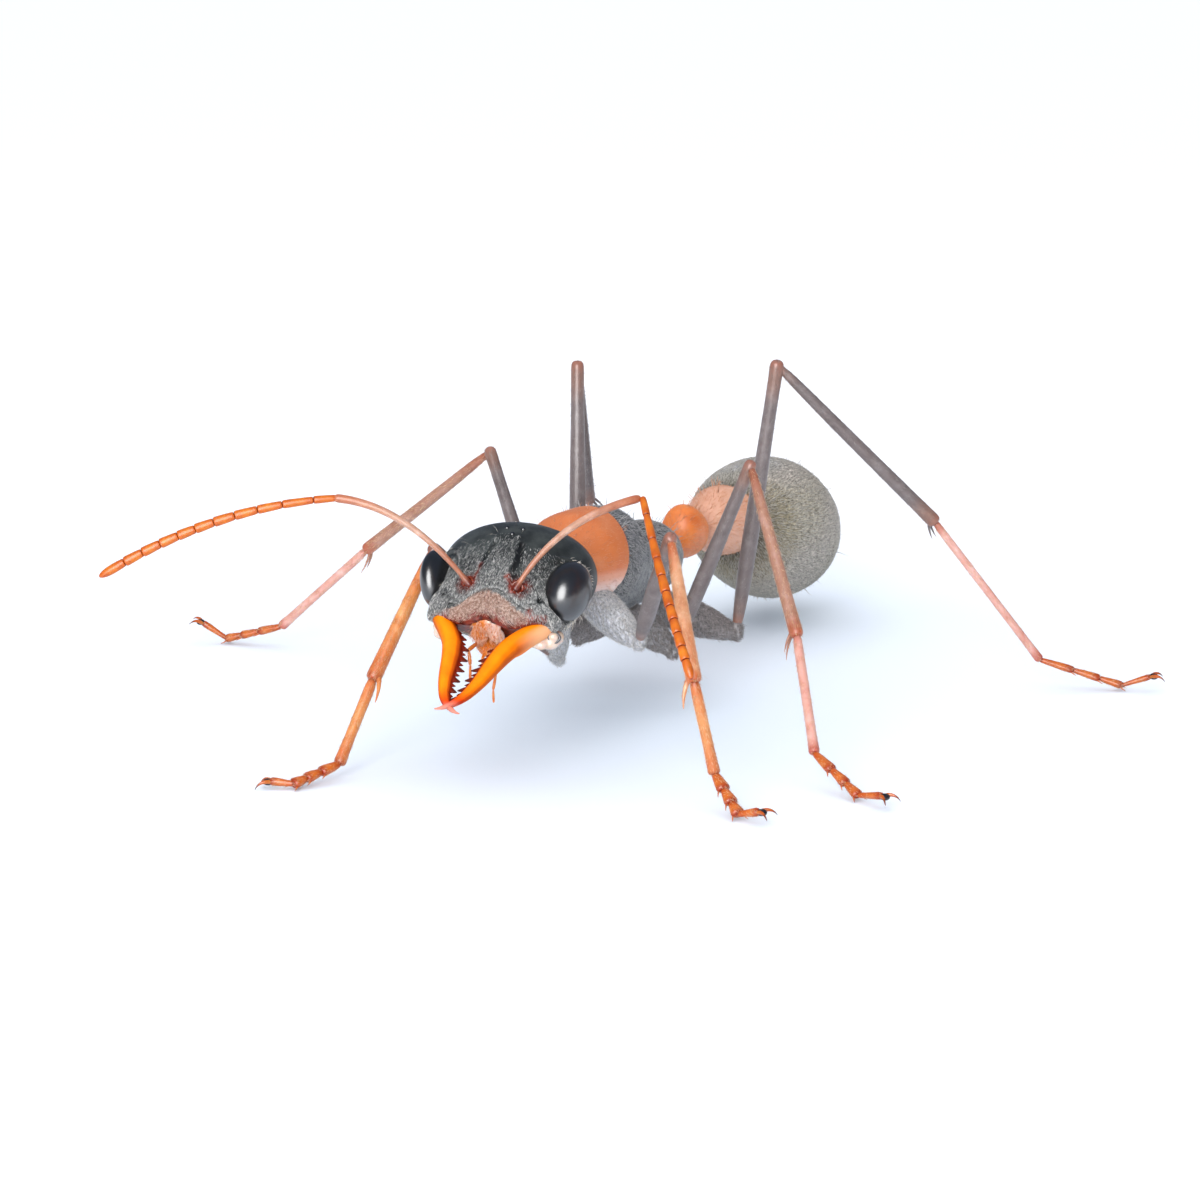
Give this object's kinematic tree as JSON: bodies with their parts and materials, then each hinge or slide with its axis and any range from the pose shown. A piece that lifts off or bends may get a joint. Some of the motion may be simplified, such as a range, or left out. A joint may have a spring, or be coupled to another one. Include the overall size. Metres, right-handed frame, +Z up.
{
  "type": "ant",
  "caption": "Life-size standing bull ant with long toothed jaws, bent feelers, a narrow jointed waist and long bent legs.",
  "frame": {"origin": "on the floor, under the middle of the whole ant's box", "axes": "+Z up from the floor, -Y the way the ant's body faces, +X its own left"},
  "size_m": [0.0156, 0.0153, 0.0055],
  "materials": {
    "head_cuticle": "black cuticle under fine silvery hair",
    "eye": "glossy black compound eye",
    "jaw": "glossy yellow-orange horn with dark red teeth",
    "feeler_orange": "satin orange, slightly clear",
    "trunk_orange": "satin orange-red cuticle with fine pale hair",
    "trunk_black": "grey-black cuticle under silvery hair",
    "gaster_grey": "black cuticle under dense grey-gold down",
    "leg_grey": "satin dark grey-brown cuticle",
    "leg_orange": "satin orange cuticle, slightly clear"
  },
  "bodies": {
    "root": {"head": "head_cuticle", "eye_left": "eye", "mandible_left": "jaw", "scape_left": "feeler_orange", "funiculus_left": "feeler_orange", "eye_right": "eye", "mandible_right": "jaw", "scape_right": "feeler_orange", "funiculus_right": "feeler_orange", "mouthparts": "feeler_orange", "pronotum": "trunk_orange", "mesonotum": "trunk_black", "propodeum": "trunk_black", "petiole": "trunk_orange", "postpetiole": "trunk_orange", "gaster_1": "gaster_grey", "gaster_2": "gaster_grey", "gaster_3": "gaster_grey", "gaster_4": "gaster_grey", "coxa_front_left": "leg_grey", "femur_front_left": "leg_grey", "tibia_front_left": "leg_orange", "heel_front_left": "leg_orange", "foot_front_left": "leg_orange", "coxa_front_right": "leg_grey", "femur_front_right": "leg_grey", "tibia_front_right": "leg_orange", "heel_front_right": "leg_orange", "foot_front_right": "leg_orange", "coxa_middle_left": "leg_grey", "femur_middle_left": "leg_grey", "tibia_middle_left": "leg_orange", "heel_middle_left": "leg_orange", "foot_middle_left": "leg_orange", "coxa_middle_right": "leg_grey", "femur_middle_right": "leg_grey", "tibia_middle_right": "leg_orange", "heel_middle_right": "leg_orange", "foot_middle_right": "leg_orange", "coxa_hind_left": "leg_grey", "femur_hind_left": "leg_grey", "tibia_hind_left": "leg_grey", "heel_hind_left": "leg_orange", "foot_hind_left": "leg_orange", "coxa_hind_right": "leg_grey", "femur_hind_right": "leg_grey", "tibia_hind_right": "leg_grey", "heel_hind_right": "leg_orange", "foot_hind_right": "leg_orange"}
  },
  "joints": []
}
